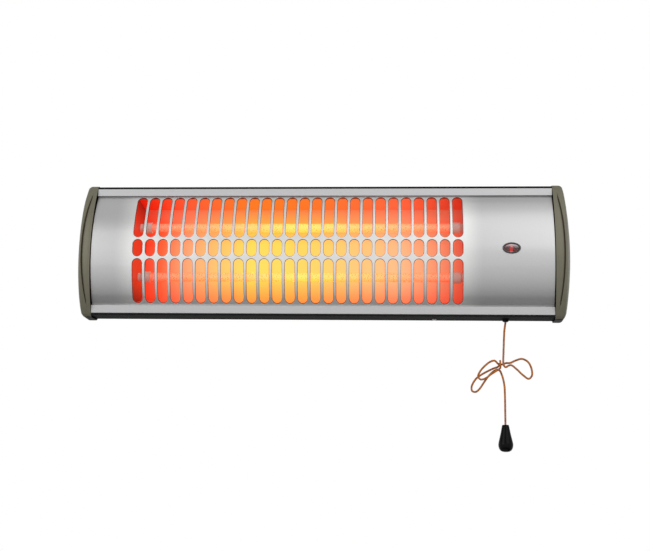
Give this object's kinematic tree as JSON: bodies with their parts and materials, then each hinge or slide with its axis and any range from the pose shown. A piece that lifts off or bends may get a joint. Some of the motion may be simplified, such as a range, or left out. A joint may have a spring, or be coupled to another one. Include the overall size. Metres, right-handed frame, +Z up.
{
  "type": "electric bar heater",
  "caption": "Wall-hung electric bar heater: a curved slotted panel over quartz tubes and a reflector, moulded end caps, a tilting wall bracket and a knotted pull cord with a knob.",
  "frame": {"origin": "middle of the wall bracket's back face, which lies on the wall", "axes": "+X along the heater to the right seen from the front, +Y into the wall, +Z up"},
  "size_m": [0.55, 0.1201, 0.2948],
  "materials": {
    "panel": "satin silver paint",
    "strip": "satin light grey paint",
    "casing": "satin black powder coat",
    "cap": "olive bronze paint on black moulding",
    "mirror": "bright polished",
    "steel": "zinc plated",
    "quartz": "frosted quartz",
    "element": "glowing resistance wire",
    "ceramic": "unglazed",
    "black_plastic": "gloss black",
    "lens": "dark smoked",
    "lamp": "red neon",
    "nylon": "natural",
    "brass": "plain",
    "cord": "orange-brown braid",
    "insulation": "woven glass sleeve"
  },
  "bodies": {
    "bracket": {"wall_bracket": "casing", "pivot_bolt_left": "steel", "pivot_bolt_right": "steel", "pivot_nut_left": "steel", "pivot_nut_right": "steel"},
    "heater": {"pivot_lug_left": "steel", "pivot_lug_right": "steel", "rear_casing": "casing", "front_panel": "panel", "trim_strip_top": "strip", "trim_strip_bottom": "strip", "end_cap_left": "cap", "end_cap_right": "cap", "tube_plate_left": "steel", "tube_plate_right": "steel", "reflector": "mirror", "quartz_tube_upper": "quartz", "quartz_tube_lower": "quartz", "heating_coil_upper": "element", "heating_coil_lower": "element", "ceramic_end_upper_left": "ceramic", "ceramic_end_upper_right": "ceramic", "ceramic_end_lower_left": "ceramic", "ceramic_end_lower_right": "ceramic", "tube_terminal_upper_left": "steel", "tube_terminal_upper_right": "steel", "tube_terminal_lower_left": "steel", "tube_terminal_lower_right": "steel", "indicator_bezel": "black_plastic", "indicator_lens": "lens", "indicator_lamp": "lamp", "lamp_holder": "nylon", "switch_housing": "nylon", "lever_pin": "steel", "lever_spring": "steel", "cord_bush": "black_plastic", "terminal_block": "nylon", "thermal_cutout": "steel", "cable_gland": "black_plastic", "casing_screw": "steel", "lead_upper_tube": "insulation", "lead_lower_tube": "insulation", "lead_supply": "insulation", "lead_tube_link": "insulation", "lead_return": "insulation"},
    "pull": {"cord_ferrule": "brass", "pull_cord_inner": "cord"},
    "cord": {"pull_cord_upper": "cord", "pull_cord_bow": "cord", "pull_cord_lower": "cord", "pull_knob": "black_plastic"},
    "lever": {"switch_lever": "brass"},
    "drum": {"selector_drum": "nylon"}
  },
  "joints": [
    {"name": "tilt", "type": "hinge", "parent": "bracket", "child": "heater", "pos_m": [0, -0.018, 0], "axis": [1, 0, 0], "range_deg": [0, 30]},
    {"name": "cord_pull", "type": "slide", "parent": "heater", "child": "pull", "axis": [0, 0, -1], "range_m": [0, 0.008], "stiffness_N_per_m": 800, "springref_m": -0.002},
    {"name": "cord_swing", "type": "hinge", "parent": "pull", "child": "cord", "pos_m": [0.204, -0.085, -0.07635], "axis": [1, 0, 0], "range_deg": [-30, 0]},
    {"name": "lever_turn", "type": "hinge", "parent": "heater", "child": "lever", "pos_m": [0.219, -0.085, -0.056], "axis": [0, -1, 0], "range_deg": [0, 32]},
    {"name": "drum_turn", "type": "hinge", "parent": "heater", "child": "drum", "pos_m": [0.219, -0.085, -0.056], "axis": [0, -1, 0], "range_deg": [0, 31]}
  ],
  "couplings": [
    {"joint": "cord_swing", "follows": "tilt", "ratio": -1},
    {"joint": "lever_turn", "follows": "cord_pull", "rad_per_m": 68.75},
    {"joint": "drum_turn", "follows": "cord_pull", "rad_per_m": 65.45}
  ]
}
